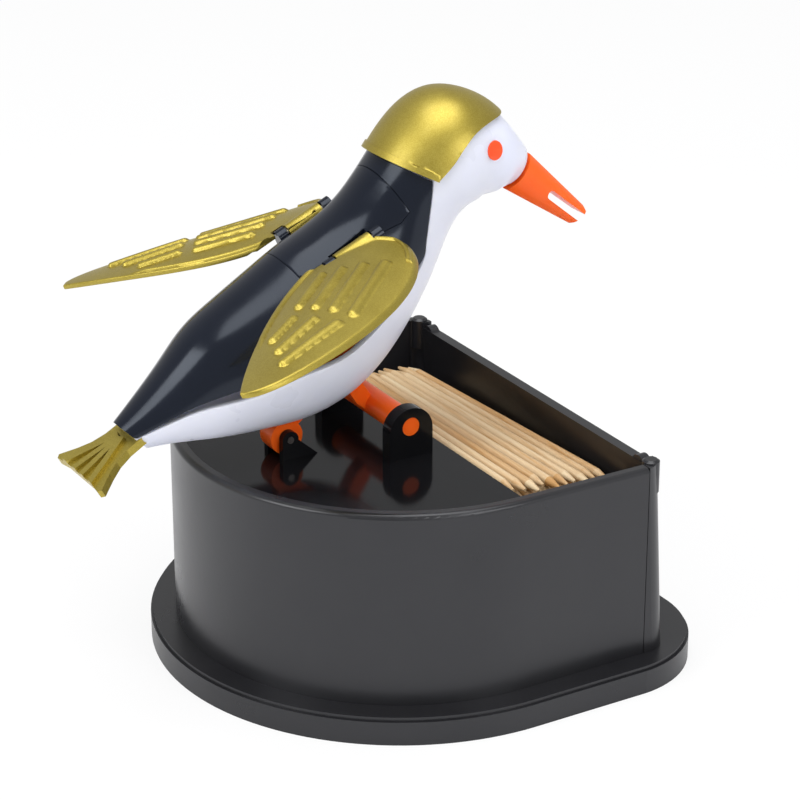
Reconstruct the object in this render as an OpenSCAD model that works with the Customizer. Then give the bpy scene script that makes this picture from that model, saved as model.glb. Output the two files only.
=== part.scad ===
// Toothpick dispenser with a bowing bird.
// A D-shaped box stands on a flanged base. The bird hangs on a pin in a
// perch frame that is clipped to the lid. When its head is pressed down the
// bird bows about that pin, dips its slotted beak into the open slot over
// the toothpicks, and a bar on the frame pulls on the wings so that they rise.
// X runs along the toothpicks, +Y is where the bird looks, +Z is up.
// The origin lies under the centre of the round end, on the table.

/* [Box] */
// Radius of the round end of the box
box_r = 44.8; // [42:0.1:50]
// Height of the rim above the table
box_h = 44.6; // [40:0.2:52]
// Thickness of the box wall
box_wall = 2.2; // [1.6:0.1:3]
// Distance from the centre of the round end to the flat wall's foot
flat_foot_y = 34; // [31:0.5:40]
// Lean of the flat wall, in degrees
flat_lean = 3.6; // [0:0.2:5]
// Thickness of the flat wall
flat_wall = 2.3; // [1.6:0.1:3]
// How far the flat wall's edge lies below the rim
flat_drop = 1.0; // [0.4:0.1:2]
// Radius of the two upright corners
corner_r = 4.6; // [3:0.2:7]
// Length of the flat wall's side returns at the foot
return_l = 6.2; // [5.6:0.2:9]

/* [Base plate] */
// Height of the base plate
plate_h = 5.6; // [4.6:0.2:8]
// How far the plate stands out beyond the round wall
plate_lip = 5.0; // [4:0.2:9]
// How far the plate stands out beyond the flat wall's foot
plate_front = 11.2; // [8:0.2:18]
// Radius of the plate's front corners
plate_corner_r = 21; // [14:1:28]
// Skin thickness of the plate above its hollow underside
plate_skin = 2.4; // [1.8:0.1:3.2]

/* [Lid] */
// Thickness of the lid
lid_t = 2.0; // [1.6:0.1:2.6]
// Depth of the lid below the rim
lid_sunk = 1.5; // [1:0.1:2.5]
// Position of the lid's straight edge, in front of the round end's centre
lid_edge_y = 2.1; // [0:0.1:4]

/* [Perch] */
// Distance of the perch bar behind the round end's centre
bar_back = 6.2; // [5:0.2:8]
// Height of the perch bar above the lid
bar_lift = 6.2; // [5.6:0.2:8]
// Diameter of the perch bar
bar_d = 5.2; // [4.4:0.2:6.4]
// Diameter of the bar's end pins
bar_pin_d = 3.7; // [3:0.1:4.2]
// Distance between the inner faces of the two ears
ear_span = 23.6; // [21:0.2:28]
// Thickness of each ear
ear_t = 2.8; // [2:0.1:3.6]
// Radius of each ear's round top
ear_r = 4.7; // [4:0.1:5.6]
// Distance of the rear foot behind the perch bar
foot_back = 20.1; // [18.5:0.1:21.5]
// Height of the rear foot's pin above the lid
foot_lift = 3.9; // [3.8:0.1:4.6]
// Radius of the rear foot
foot_r = 3.4; // [3:0.1:3.5]
// Diameter of the rear foot's pin
foot_pin_d = 1.4; // [1.2:0.1:2]
// Thickness of the frame's plate
frame_t = 3.6; // [3:0.1:4.2]

/* [Bird] */
// Height of the bird's pivot above the perch bar
pivot_rise = 30.7; // [29.5:0.1:32]
// Diameter of the bird's pivot pin
pivot_d = 3.0; // [2.4:0.1:3.6]
// Wall thickness of the bird's shells
shell_t = 1.6; // [1.2:0.1:2]
// Width of the keel slot in the belly
keel_slot = 5.6; // [5:0.1:7]
// Distance from the pivot to the cross pin that moves the wings
lifter_reach = 9.4; // [9:0.1:9.8]
// Diameter of the cross pin that moves the wings
lifter_d = 2.0; // [1.6:0.1:2.4]
// Length of the tail fan
fan_l = 11.5; // [8:0.5:16]
// Width of the tail fan's end
fan_w = 19.5; // [14:0.5:24]
// Thickness of the gold cap on the head
cap_t = 1.0; // [0.8:0.1:1.4]
// Length of the beak
beak_l = 20.2; // [16:0.2:24]
// Width of the slit in the beak
slit_w = 1.8; // [1.4:0.1:2.2]

/* [Wings] */
// Length of a wing from shoulder to tip
wing_l = 54; // [46:1:58]
// Width of a wing outside its middle line
wing_outer = 12.4; // [10:0.1:14]
// Width of a wing inside its middle line
wing_inner = 9.4; // [7:0.2:10]
// Thickness of a wing
wing_t = 1.1; // [1:0.1:1.8]
// Height of the ribs on a wing
rib_h = 0.5; // [0.3:0.1:0.8]
// Resting lift of the wing on the +X side, in degrees
right_lift = 15; // [0:1:20]
// Resting lift of the wing on the -X side, in degrees
left_lift = 0; // [-6:1:20]
// Diameter of the wing hinge pins
wing_pin_d = 1.6; // [1.2:0.1:1.9]

/* [Toothpicks] */
// Length of a toothpick
pick_l = 65; // [60:1:68]
// Diameter of a toothpick
pick_d = 2.0; // [1.8:0.1:2.2]
// Number of layers in the tray
pick_layers = 4; // [2:1:4]

/* [Hidden] */
$fn = 64;

fit = 0.08;          // radial clearance of a pin in a hole that turns
seat = 0.05;         // radial clearance of a pin that stays still
gap = 0.15;          // gap at a seam between two fixed pieces
big = 300;           // cutting size

black = "#1b1b1f";
gold = "#a8913a";
white = "#dfe1ee";
orange = "#f0641e";
wood = "#e3cda0";
steel = "#9a9a9a";

lid_top = box_h - lid_sunk;
lid_under = lid_top - lid_t;
inner_r = box_r - box_wall;
bar_y = -bar_back;
bar_z = lid_top + bar_lift;
foot_y = bar_y - foot_back;
foot_z = lid_top + foot_lift;
pivot_y = bar_y + 0.2;
pivot_z = bar_z + pivot_rise;

// Cross-sections of the bird from tail to beak, measured from the pivot:
// [back y, back z, belly y, belly z, half width]
SECTIONS = [
  [-54.5, -23.5, -49.0, -29.0, 4.0],
  [-50.0, -19.5, -43.5, -29.0, 6.0],
  [-44.5, -14.0, -34.0, -30.0, 8.5],
  [-39.0,  -8.0, -24.5, -30.0, 11.0],
  [-32.5,  -4.0, -16.0, -29.5, 12.5],
  [-25.5,   0.0,  -7.5, -26.5, 13.5],
  [-19.0,   4.0,  -0.5, -21.5, 13.0],
  [-12.5,   7.0,   5.5, -14.0, 12.5],
  [ -7.0,  10.5,  11.0,  -5.5, 11.0],
  [ -3.0,  14.5,  14.5,   2.5, 10.5],
  [  0.5,  18.5,  17.5,   6.5, 11.0],
  [  4.0,  23.0,  20.5,   7.5, 11.5],
  [  9.0,  27.5,  21.5,   8.0, 11.5],
  [ 15.5,  29.5,  23.0,   8.0, 11.0],
  [ 23.5,  26.5,  24.5,   8.0, 10.0],
  [ 28.5,  21.5,  26.0,   8.5, 8.0],
  [ 33.0,  16.0,  28.0,   8.5, 4.8]];
LAST = len(SECTIONS) - 1;
// Upper edge of the white shell in side view, from tail to neck
BELLY_EDGE = [[-52, -25.4], [-41.5, -21.2], [-32, -19.4], [-22.5, -16.5],
  [-11.5, -13.5], [-1, -6], [4.6, 0], [5.6, 4.5], [6.4, 10.5]];
// Lower edge of the black shell, which leaves a gap below the wings
BACK_EDGE = [[-52, -25.2], [-42, -20], [-32, -16.8], [-22.5, -13.4],
  [-12, -10.2], [-2.5, -3.6], [4.4, 0.6], [5.4, 4.6], [6.2, 10.5]];
NECK = 10;           // section under the rim of the cap

function back_pt(i) = [SECTIONS[i][0], SECTIONS[i][1]];
function belly_pt(i) = [SECTIONS[i][2], SECTIONS[i][3]];
function mid_pt(i) = (back_pt(i) + belly_pt(i)) / 2;
function up_dir(i) = (back_pt(i) - belly_pt(i)) / norm(back_pt(i) - belly_pt(i));

ring_n = 36;
// One ring of the bird's skin, grown or shrunk by g
function ring(i, g) = let (m = mid_pt(i), d = up_dir(i),
    a = norm(back_pt(i) - belly_pt(i)) / 2 + g, b = SECTIONS[i][4] + g)
  [for (k = [0 : ring_n - 1]) let (t = 360 * k / ring_n)
    [b * cos(t), m[0] + a * sin(t) * d[0], m[1] + a * sin(t) * d[1]]];

// Closed skin over the sections from first to last
module skin(g, first, last) {
  n = ring_n;
  rows = last - first + 1;
  points = [for (i = [first : last]) each ring(i, g)];
  sides = [for (r = [0 : rows - 2]) for (k = [0 : n - 1])
    let (a = r * n + k, b = r * n + (k + 1) % n)
    each [[a, b, b + n], [a, b + n, a + n]]];
  ends = [[for (k = [n - 1 : -1 : 0]) k], [for (k = [0 : n - 1]) (rows - 1) * n + k]];
  translate([0, pivot_y, pivot_z])
    polyhedron(points, concat(sides, ends), convexity = 6);
}

// Extrudes a [y, z] outline across the bird or the box
module across(w) {
  rotate([90, 0, 90]) linear_extrude(w, center = true) children();
}

// Same, in the bird's own coordinates
module across_bird(w) {
  translate([0, pivot_y, pivot_z]) across(w) children();
}

module rod_x(d, w) {
  rotate([0, 90, 0]) cylinder(d = d, h = w, center = true);
}

// ---------- box ----------

// Round end and straight sides, open towards +Y
module round_end(r, length) {
  circle(r, $fn = 160);
  translate([-r, 0]) square([2 * r, length]);
}

// Straight front with two round corners, wider than the box elsewhere.
// The arcs run a hair past their neighbours, so that edges cross cleanly.
module straight_front(r, front, corner) {
  hair = 0.02;
  translate([-(r - corner), -big / 2])
    square([2 * (r - corner), big / 2 + front - hair]);
  translate([-(r + 5), -big / 2])
    square([2 * (r + 5), big / 2 + front - corner + 10 * hair]);
  for (s = [-1, 1])
    translate([s * (r - corner + hair), front - corner]) circle(corner);
}

// D-shaped outline of radius r, its flat side at y = front, corners rounded
module d_outline(r, front, corner) {
  intersection() {
    round_end(r, front + 1);
    straight_front(r, front, corner);
  }
}

// Upright D whose flat side leans back from its foot, drawn in by inset
module leaning_d(inset, from, to) {
  r = box_r - inset;
  front = flat_foot_y - inset;
  intersection() {
    translate([0, front, plate_h]) rotate([flat_lean, 0, 0])
      translate([0, -front, -20]) linear_extrude(80)
        straight_front(r, front, max(corner_r - inset, 1.2));
    translate([0, 0, from]) linear_extrude(to - from) round_end(r, front + 10);
  }
}

// Inner face of the flat wall at height z, and the line where the panel starts
function wall_y(z) = flat_foot_y - flat_wall - (z - plate_h) * tan(flat_lean);
seam_y = flat_foot_y - return_l;

module plate_outline(inset) {
  d_outline(box_r + plate_lip - inset, flat_foot_y + plate_front - inset,
    plate_corner_r - inset);
}

boss_d = 6.6;
boss_h = 12;
screw_d = 2.4;
BOSSES = [for (s = [-1, 1]) each [
  [s * (inner_r - 2.4) * sin(45), -(inner_r - 2.4) * cos(45)],
  [s * (inner_r - 2.4), seam_y * 0.55]]];

module base_plate() {
  edge = 0.8;
  color(black) difference() {
    union() {
      linear_extrude(plate_h - edge) plate_outline(0);
      translate([0, 0, plate_h - edge - 0.01])
        linear_extrude(edge + 0.01) plate_outline(edge * 0.6);
      // rib that locates the box
      difference() {
        leaning_d(box_wall + gap, plate_h - 0.01, plate_h + 2);
        leaning_d(box_wall + gap + 1.4, plate_h - 1, plate_h + 3);
      }
    }
    // hollow underside
    translate([0, 0, -1]) linear_extrude(plate_h - plate_skin + 1) difference() {
      plate_outline(2.4);
      for (x = [-30 : 15 : 30]) translate([x - 0.7, -big / 2]) square([1.4, big]);
      for (b = BOSSES) translate(b) circle(d = boss_d + 1.6);
    }
    for (b = BOSSES) translate([b[0], b[1], -1]) {
      cylinder(d = screw_d + 0.4, h = big);
      cylinder(d = screw_d * 2 + 0.6, h = 1 + plate_h - plate_skin);
      translate([0, 0, plate_h + 1]) cylinder(d = boss_d + 0.6, h = 4);
    }
  }
}

module box_shell() {
  ledge = 1.4;
  color(black) difference() {
    union() {
      difference() {
        leaning_d(0, plate_h, box_h);
        leaning_d(box_wall, plate_h - 1, lid_under - 1);
        leaning_d(box_wall + ledge, lid_under - 2, lid_under + 1);
        leaning_d(box_wall, lid_under, box_h + 1);
        // no ledge beside the tray and the open slot
        translate([-inner_r, tray_back_y - gap, plate_h])
          cube([2 * inner_r, big, big]);
      }
      for (b = BOSSES) translate([b[0], b[1], plate_h])
        cylinder(d = boss_d, h = boss_h);
    }
    for (b = BOSSES) translate([b[0], b[1], plate_h - 1])
      cylinder(d = screw_d + 2 * seat, h = boss_h);
    translate([-big / 2, seam_y - gap, 0]) cube([big, big, big]);
    rim_round();
  }
}

// Rounds the outer edge of the rim, round the end and along both sides
module rim_edge(r) {
  translate([box_r - r, box_h - r]) difference() {
    square(r + 1);
    circle(r, $fn = 32);
  }
}

module rim_round() {
  r = 1.0;
  intersection() {
    rotate_extrude($fn = 160) rim_edge(r);
    translate([-big / 2, -big, 0]) cube([big, big, big]);
  }
  for (s = [0, 1]) mirror([s, 0, 0]) translate([0, flat_foot_y, 0])
    rotate([90, 0, 0]) linear_extrude(flat_foot_y + 0.02) rim_edge(r);
}

module front_panel() {
  post = box_r - corner_r;
  color(black) difference() {
    leaning_d(0, plate_h, box_h);
    leaning_d(box_wall, plate_h - 1, box_h + 1);
    translate([-big / 2, seam_y - big, 0]) cube([big, big, big]);
    // lowered edge between the two corner posts
    translate([-post, seam_y + 1, box_h - flat_drop]) cube([2 * post, 20, 10]);
  }
  // round post in each corner and a round stop beside it on the lowered edge
  rim_y = wall_y(box_h) + flat_wall;
  color(black) for (s = [-1, 1]) {
    translate([s * (box_r - 2.6), rim_y - 1.8, box_h - 6]) {
      cylinder(r = 1.7, h = 6.2);
      translate([0, 0, 6.19]) cylinder(r1 = 1.7, r2 = 1.2, h = 0.4);
    }
    translate([s * (post - 1.9), rim_y - 0.15, box_h - flat_drop - 1])
      rotate([90, 0, 0]) cylinder(r = 1.9, h = flat_wall - 0.4);
  }
}

// Upright ear on the lid; its round top is centred drop below the hole
module ear(x, t, r, y, z, hole, drop) {
  translate([x, y, 0]) difference() {
    union() {
      translate([-t / 2, -r, lid_top - 0.5])
        cube([t, 2 * r, z - drop - lid_top + 0.5]);
      translate([0, 0, z - drop]) rod_x(2 * r, t);
    }
    translate([0, 0, z]) rod_x(hole, t + 2);
  }
}

foot_ear_t = 1.4;
foot_ear_r = 1.7;
foot_hub_w = 4.4;
ear_x = ear_span / 2 + ear_t / 2;
foot_ear_x = foot_hub_w / 2 + gap + foot_ear_t / 2;

module lid() {
  lip = 1.2;
  color(black) union() {
    difference() {
      translate([0, 0, lid_under]) linear_extrude(lid_t) intersection() {
        union() {
          circle(inner_r - gap, $fn = 160);
          translate([-(inner_r - gap), 0]) square([2 * (inner_r - gap), 10]);
        }
        translate([-big / 2, lid_edge_y - big]) square([big, big]);
      }
      // the rear foot dips a little into the lid
      translate([0, foot_y, foot_z]) rod_x(2 * (foot_r + 0.3), foot_hub_w + 2 * gap);
    }
    // lip that hooks behind the tray's upright wall
    translate([-(inner_r - 3), tray_back_y - gap - lip, lid_under - 1.6])
      cube([2 * (inner_r - 3), lip, 1.7]);
    for (s = [-1, 1]) {
      ear(s * ear_x, ear_t, ear_r, bar_y, bar_z, bar_pin_d + 2 * fit, 0.9);
      ear(s * foot_ear_x, foot_ear_t, foot_ear_r, foot_y, foot_z,
        foot_pin_d + 2 * seat, 0);
      // gusset in front of each rear ear
      translate([s * foot_ear_x, foot_y, lid_top]) across(foot_ear_t)
        polygon([[foot_ear_r - 0.3, -0.5], [foot_ear_r - 0.3, foot_lift],
          [foot_ear_r + 4.2, -0.1], [foot_ear_r + 4.2, -0.5]]);
    }
  }
}

// ---------- tray and toothpicks ----------

pick_pitch = pick_d + 0.08;                      // from one toothpick to the next
tray_t = 1.6;
tray_in_y = lid_edge_y;                          // inside of the upright wall
tray_back_y = tray_in_y - tray_t;                // rear face of the upright wall
tray_top = lid_under - gap;                      // top of the upright wall
tray_low = plate_h + 2 + gap;                    // underside of the ribs
tray_fall = 5.4;                                 // how far the floor falls to the flat wall
pile_h = pick_layers * pick_pitch;
tray_floor_z = lid_top - pile_h;                 // floor height at the upright wall
tray_w = 2 * (inner_r - gap);
tray_slope = tray_fall / (wall_y(lid_under) - tray_in_y);
function floor_z(y) = tray_floor_z - tray_slope * (y - tray_in_y);

module pick_tray() {
  color(black) difference() {
    intersection() {
      union() {
        across(tray_w) polygon([
          [tray_back_y, tray_low], [tray_back_y, tray_top],
          [tray_in_y, tray_top], [tray_in_y, floor_z(tray_in_y)],
          [flat_foot_y, floor_z(flat_foot_y)],
          [flat_foot_y, floor_z(flat_foot_y) - tray_t],
          [tray_in_y, floor_z(tray_in_y) - tray_t],
          [tray_in_y, tray_low]]);
        // ribs that carry the floor
        for (x = [-24, 0, 24]) translate([x, 0, 0]) across(1.6) polygon([
          [tray_in_y - 0.1, tray_low],
          [tray_in_y - 0.1, floor_z(tray_in_y) - 0.4],
          [flat_foot_y, floor_z(flat_foot_y) - 0.4],
          [flat_foot_y, tray_low]]);
      }
      leaning_d(box_wall + gap, plate_h, box_h);
    }
    for (b = BOSSES) translate([b[0], b[1], plate_h])
      cylinder(d = boss_d + 2 * gap, h = boss_h + 2);
  }
}

pick_slope = atan(tray_slope);
pick_rows = floor((wall_y(lid_under) - tray_in_y - 0.6) / pick_pitch);
fan_rows = pick_rows - 2;                        // rows of the spread layers
fan_step = 0.55;                                 // turn from one pick to the next
// How far the left end of a pick lies off the middle, less half its length
function pick_shift(row, layer) = 3.2 - 0.45 * row + 1.2 * sin(137 * row + 71 * layer);

module toothpick() {
  point = 3.4;
  rotate([0, 90, 0]) {
    cylinder(d = pick_d, h = pick_l - 2 * point, center = true, $fn = 24);
    for (s = [0, 1]) mirror([0, 0, s])
      translate([0, 0, pick_l / 2 - point - 0.01])
        cylinder(d1 = pick_d, d2 = 0.6, h = point, $fn = 24);
  }
}

// The floor's slanted plane, with the height h of a layer over it
module pick_bed(h) {
  translate([0, tray_in_y, tray_floor_z]) rotate([-pick_slope, 0, 0])
    translate([0, 0.3 - h * tan(pick_slope), h]) children();
}

// The lower layers lie side by side, the two upper ones spread towards +X
module toothpicks() {
  color(wood) for (layer = [0 : pick_layers - 1])
    let (spread = layer >= pick_layers - 2 && layer > 0,
      rows = spread ? fan_rows : pick_rows)
      pick_bed(pick_pitch * (layer + 0.5) + 0.02)
        for (row = [0 : rows - 1])
          translate([pick_shift(row, layer) - pick_l / 2, pick_pitch * (row + 0.51), 0])
            rotate(spread ? 0.2 + fan_step * row : 0)
              translate([pick_l / 2, 0, 0]) toothpick();
}

// ---------- perch ----------

module frame_outline() {
  // pivot eye, curved leg to the perch bar and leg to the rear foot,
  // in the bird's own coordinates
  bar = [bar_y - pivot_y, bar_z - pivot_z];
  foot = [foot_y - pivot_y, foot_z - pivot_z];
  eye_r = pivot_d / 2 + 2.4;
  knee = [-8.6, bar[1] + 10.5];
  difference() {
    union() {
      circle(eye_r);
      polygon([[-eye_r + 0.2, 0], [eye_r - 1.2, -1], [-1.2, -16],
        [knee[0] + 5.6, knee[1] + 2], [knee[0] + 4.0, knee[1] - 3.6],
        [bar[0] - 1.4, bar[1] + 2.2], [bar[0] - 2.0, bar[1] - 1.0],
        [bar[0] - 4.6, bar[1] + 1.2], [knee[0] + 0.2, knee[1] - 3.4],
        [foot[0] + 2.2, foot[1] + 1.6], [foot[0] - 2.0, foot[1] + 1.2],
        [foot[0] - 0.4, foot[1] + 8.6], [knee[0] - 5.0, knee[1] + 3.6],
        [-6.6, -12]]);
    }
    translate([knee[0] - 2.6, knee[1] + 1.4]) circle(1.9, $fn = 32);
  }
}

lifter_angle = 140;
module perch_frame() {
  color(orange) difference() {
    union() {
      translate([0, bar_y, bar_z]) {
        rod_x(bar_d, ear_span - 2 * gap);
        rod_x(bar_pin_d, ear_span + 2 * ear_t - 0.4);
      }
      translate([0, foot_y, foot_z]) rod_x(2 * foot_r, foot_hub_w);
      across_bird(frame_t) frame_outline();
      // arm that holds the cross pin for the wings
      across_bird(frame_t - 0.8) rotate(lifter_angle)
        translate([0, -1.2]) square([lifter_reach, 2.4]);
      at_lifter() rod_x(lifter_d + 1.6, frame_t - 0.8);
    }
    at_lifter() rod_x(lifter_d + 2 * seat, big);
    translate([0, pivot_y, pivot_z]) rod_x(pivot_d + 2 * fit, big);
    translate([0, foot_y, foot_z]) rod_x(foot_pin_d + 2 * seat, big);
  }
}

lifter_w = 6.8;
module at_lifter() {
  translate([0, pivot_y + lifter_reach * cos(lifter_angle),
    pivot_z + lifter_reach * sin(lifter_angle)]) children();
}

// Cross pin whose ends press on the wings' inner tabs
module lifter_pin() {
  color(steel) at_lifter() rod_x(lifter_d, lifter_w);
}

module anchor_pin() {
  color(steel) translate([0, foot_y, foot_z])
    rod_x(foot_pin_d, 2 * foot_ear_x + foot_ear_t + 0.2);
}

module base_screws() {
  color(steel) for (b = BOSSES) translate([b[0], b[1], 0]) difference() {
    union() {
      translate([0, 0, plate_h - plate_skin - 1.4]) cylinder(d = screw_d * 2, h = 1.4);
      translate([0, 0, plate_h - plate_skin - 0.01])
        cylinder(d = screw_d, h = plate_skin + boss_h - 3);
    }
    // cross slot
    for (a = [0, 90]) rotate(a) translate([-1.6, -0.3, plate_h - plate_skin - 1.8])
      cube([3.2, 0.6, 1.1]);
  }
}

// ---------- bird ----------

CAP_NAPE = [-1.4, 20.2];       // where the cap's rim crosses the nape
CAP_CORNER = [7.4, 15.8];      // lowest corner of the cap, at the side
// Front edge of the cap, from that corner to its tip over the face
CAP_EDGE = [[10.4, 18.6], [13, 21.4], [16.3, 23.8], [21, 24.9], [27.2, 24.7]];

// Side view outline of everything behind and above the seam
module back_area() {
  polygon(concat([[-90, -24]], BACK_EDGE, [CAP_CORNER - [0.6, 0.1],
    CAP_NAPE - [0, 0.1], [-90, 40]]));
}

// Side view outline of the white shell
module belly_area() {
  polygon(concat([[-90, -26], [-90, -60], [60, -60], [60, 60], [-30, 60],
    CAP_NAPE + [0, 0.1], CAP_CORNER - [0.3, -0.1]],
    [for (i = [len(BELLY_EDGE) - 1 : -1 : 0]) BELLY_EDGE[i]]));
}

// Side view outline of the gold cap
module cap_area() {
  polygon(concat([CAP_NAPE + [-20, 9.8], CAP_NAPE, CAP_CORNER], CAP_EDGE,
    [[40, 30], [0, 60], [-30, 60]]));
}

hinge_tilt = 24.6;             // slope of the wing hinges, nose up
HINGE = [9.5, -17.2, 1.3];     // rear end of the right hinge, from the pivot
knuckle_d = 3.2;
knuckle_from = 4.6;
knuckle_to = 12.4;
tab_l = 6.4;

// Places children in the frame of a wing hinge: X outward, Y along the hinge
module at_hinge(side) {
  mirror([side < 0 ? 1 : 0, 0, 0])
    translate([HINGE[0], pivot_y + HINGE[1], pivot_z + HINGE[2]])
      rotate([hinge_tilt, 0, 0]) children();
}

module hinge_rod(d, from, to) {
  translate([0, from, 0]) rotate([-90, 0, 0]) cylinder(d = d, h = to - from);
}

// Room for a wing's knuckle and tab in the shells
module hinge_room(side) {
  at_hinge(side) translate([-4.4, knuckle_from - 0.4, -4.6])
    cube([9, knuckle_to - knuckle_from + 0.8, 6.9]);
}

module bird_wall() {
  difference() {
    skin(0, 0, LAST);
    skin(-shell_t, 1, LAST - 3);
  }
}

// Half bosses that clamp the pivot pin
module pivot_boss() {
  intersection() {
    skin(-shell_t / 2, 0, LAST);
    translate([0, pivot_y, pivot_z]) for (s = [-1, 1])
      translate([s * 9, 0, 0]) rod_x(pivot_d + 3.6, 5);
  }
}

// Side view outline of the saddle between the wings
module cover_area(grow) {
  g = grow * [0.7, 0.7];
  polygon([[-19.6, 0.6] - g, [-24.5, 9.4] - g, [-14, 22], [-2.6, 19.6] + g,
    [2.2, 10.4] + g, [0.4, 8.6] + [g[0], -g[1]], [-8, 5.4] + [g[0], -g[1]]]);
}

cover_half_w = 9.8;
module cover_block(grow) {
  across_bird(2 * (cover_half_w + grow)) cover_area(grow);
}

hinge_boss_d = 3.2;

// Lugs on the shell that hold the ends of a wing's pin
module hinge_bosses(extra) {
  for (y = [knuckle_from - 2.4, knuckle_to + 0.4]) {
    hinge_rod(hinge_boss_d + 2 * extra, y - extra, y + 2 + extra);
    translate([-3.6 - extra, y - extra, -3.4])
      cube([3.6 + hinge_boss_d / 2 + 2 * extra, 2 + 2 * extra, 3.4]);
  }
}

module back_shell() {
  color(black) difference() {
    union() {
      intersection() {
        union() {
          difference() {
            bird_wall();
            for (s = [-1, 1]) hinge_room(s);
          }
          pivot_boss();
        }
        across_bird(big) back_area();
      }
      for (s = [-1, 1]) at_hinge(s) hinge_bosses(0);
    }
    cover_block(gap);
    for (s = [-1, 1]) at_hinge(s)
      hinge_rod(wing_pin_d + 2 * seat, knuckle_from - 2.1, knuckle_to + 2.1);
    translate([0, pivot_y, pivot_z]) rod_x(pivot_d + 2 * seat, 21);
    tongue(seat);
  }
}

fan_slope = 30;                // how far the tail fan points down
tongue_l = 6;
tongue_w = 4.4;
fan_t = 1.6;

// Places children at the root of the tail fan, -Y outwards
module at_tail() {
  root = mid_pt(0);
  translate([0, pivot_y + root[0], pivot_z + root[1]])
    rotate([fan_slope, 0, 0]) children();
}

// Tongue of the fan, clamped between the two shells
module tongue(extra) {
  at_tail() translate([-tongue_w / 2 - extra, -1, -fan_t / 2 - extra])
    cube([tongue_w + 2 * extra, tongue_l + 1 + extra, fan_t + 2 * extra]);
}

// Flared outline with hollow sides and a nearly straight end
module fan_outline() {
  half = [[4.4, 1], [4.5, -0.25 * fan_l], [5.3, -0.5 * fan_l],
    [6.8, -0.72 * fan_l], [fan_w / 2 - 0.5, -fan_l], [fan_w / 2 - 1.2, -fan_l - 0.7],
    [fan_w * 0.28, -fan_l - 0.3]];
  polygon(concat(half, [for (i = [len(half) - 1 : -1 : 0]) [-half[i][0], half[i][1]]]));
}

module tail_fan() {
  color(gold) union() {
    difference() {
      at_tail() {
        translate([0, 0, -fan_t / 2]) linear_extrude(fan_t)
          fan_outline();
        // raised ribs that spread towards the end
        translate([0, 0, fan_t / 2 - 0.2]) linear_extrude(0.9) intersection() {
          fan_outline();
          for (s = [-1, 1], a = [8, 25]) rotate(s * a)
            translate([-0.7, -fan_l - 6]) square([1.4, fan_l + 4.2]);
        }
      }
      skin(gap, 0, LAST);
    }
    tongue(0);
  }
}

module shoulder_cover() {
  color(black) difference() {
    intersection() {
      bird_wall();
      cover_block(0);
    }
    for (s = [-1, 1]) {
      hinge_room(s);
      at_hinge(s) hinge_bosses(gap);
    }
  }
}

// Slot that the frame passes through as the bird bows
module keel_cut() {
  across_bird(keel_slot) polygon([[-6, -14], [-26, -26], [-25, -40], [-4, -44],
    [22, -22], [22, -6.5], [10, -5.2]]);
}

module belly_shell() {
  color(white) difference() {
    intersection() {
      union() {
        bird_wall();
        pivot_boss();
      }
      across_bird(big) belly_area();
    }
    keel_cut();
    translate([0, pivot_y, pivot_z]) rod_x(pivot_d + 2 * seat, 21);
    tongue(seat);
    beak_socket();
    eye_holes();
  }
}

module crown_cap() {
  color(gold) difference() {
    intersection() {
      skin(cap_t, NECK - 1, LAST);
      across_bird(big) cap_area();
    }
    skin(gap / 2, NECK - 2, LAST);
  }
}

BEAK_ROOT = [30.5, 11.5];      // middle of the beak's root, from the pivot
beak_dip = 38.7;               // how far the beak points down
module at_beak() {
  translate([0, pivot_y + BEAK_ROOT[0], pivot_z + BEAK_ROOT[1]])
    rotate([-beak_dip, 0, 0]) children();
}

module beak_socket() {
  at_beak() rotate([90, 0, 0]) cylinder(d = 4 + 2 * seat, h = 5.2);
}

module beak() {
  // Y runs along the beak, Z across its mouth
  slit_from = 9.4;
  color(orange) at_beak() {
    difference() {
      intersection() {
        translate([0, 0.3, 0]) rotate([-90, 0, 0])
          cylinder(r1 = 4.9, r2 = 2.5, h = beak_l - 0.3);
        across(20) polygon([[0.3, -4.1], [0.3, 4.1], [beak_l - 1, 2.3],
          [beak_l, 1.6], [beak_l - 0.4, 0], [beak_l - 1.2, -1.6],
          [beak_l - 1.8, -2.2]]);
      }
      translate([-10, slit_from, -slit_w / 2]) cube([20, beak_l, slit_w]);
      translate([0, slit_from, 0]) rod_x(slit_w, 20);
    }
    rotate([90, 0, 0]) translate([0, 0, -0.31]) cylinder(d = 4, h = 5);
  }
}

EYE = [20.2, 19.6];            // middle of the eyes, from the pivot
eye_d = 3.6;
module eye_holes() {
  translate([0, pivot_y + EYE[0], pivot_z + EYE[1]]) rod_x(eye_d + 2 * seat, big);
}

module eyes() {
  color(orange) intersection() {
    skin(0.35, NECK, LAST);
    translate([0, pivot_y + EYE[0], pivot_z + EYE[1]]) for (s = [-1, 1])
      translate([s * 10, 0, 0]) rod_x(eye_d, 5);
  }
}

module pivot_pin() {
  color(steel) translate([0, pivot_y, pivot_z]) rod_x(pivot_d, 20.4);
}

// ---------- wings ----------

wing_cup_r = 32;               // radius of a wing's hollow
wing_crest = -8;               // where the hollow is highest, across the wing
wing_rise = 0.4;               // height of that crest
wing_turn = -54.3;             // direction of a wing's middle line
wing_steps = 26;

// Half width of the wing at x = 0..1 of its length
function outer_half(x) = wing_outer * pow(sin(180 * pow(x, 0.6)), 0.46);
function inner_half(x) = wing_inner * pow(sin(180 * pow(x, 0.56)), 0.85);

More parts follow.
